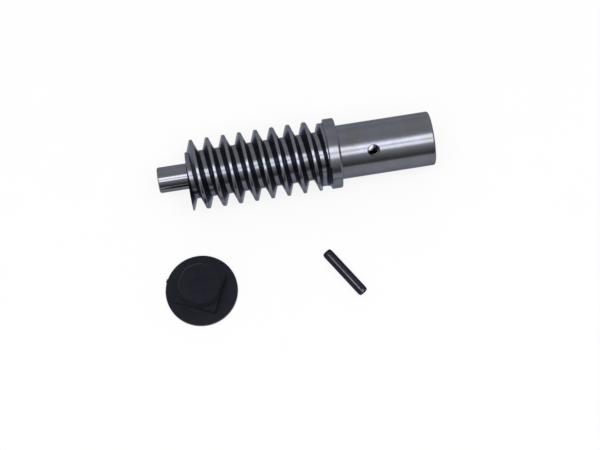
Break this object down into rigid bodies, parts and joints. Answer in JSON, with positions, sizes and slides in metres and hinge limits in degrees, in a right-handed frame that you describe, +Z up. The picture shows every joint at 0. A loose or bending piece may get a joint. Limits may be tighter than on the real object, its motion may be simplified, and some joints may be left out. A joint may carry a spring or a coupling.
{
  "type": "worm gear set",
  "caption": "Steel worm with a nose journal, collar and bored drive sleeve, laid out with its slotted spring pin and a flanged square-boss end bearing.",
  "frame": {"origin": "centre of the set's footprint, on the bench that the three pieces lie on", "axes": "+X along the worm from its nose to its sleeve end, +Y from the loose pieces towards the worm, +Z up"},
  "size_m": [0.166, 0.1054, 0.041],
  "materials": {
    "worm_steel": "turned and ground bare steel, brighter on the nose journal",
    "black_oxide": "black oxide on spring steel, lightly oiled",
    "black_polymer": "moulded, fine matt texture"
  },
  "bodies": {
    "bearing": {"end_bearing": "black_polymer"},
    "worm": {"worm": "worm_steel"},
    "pin": {"spring_pin": "black_oxide"}
  },
  "joints": [
    {"name": "worm_spin", "type": "hinge", "parent": "bearing", "child": "worm", "pos_m": [0, 0.03218, 0.0205], "axis": [1, 0, 0], "continuous": true},
    {"name": "pin_lift", "type": "slide", "parent": "bearing", "child": "pin", "axis": [0, 0, 1], "range_m": [0, 0.06]}
  ]
}
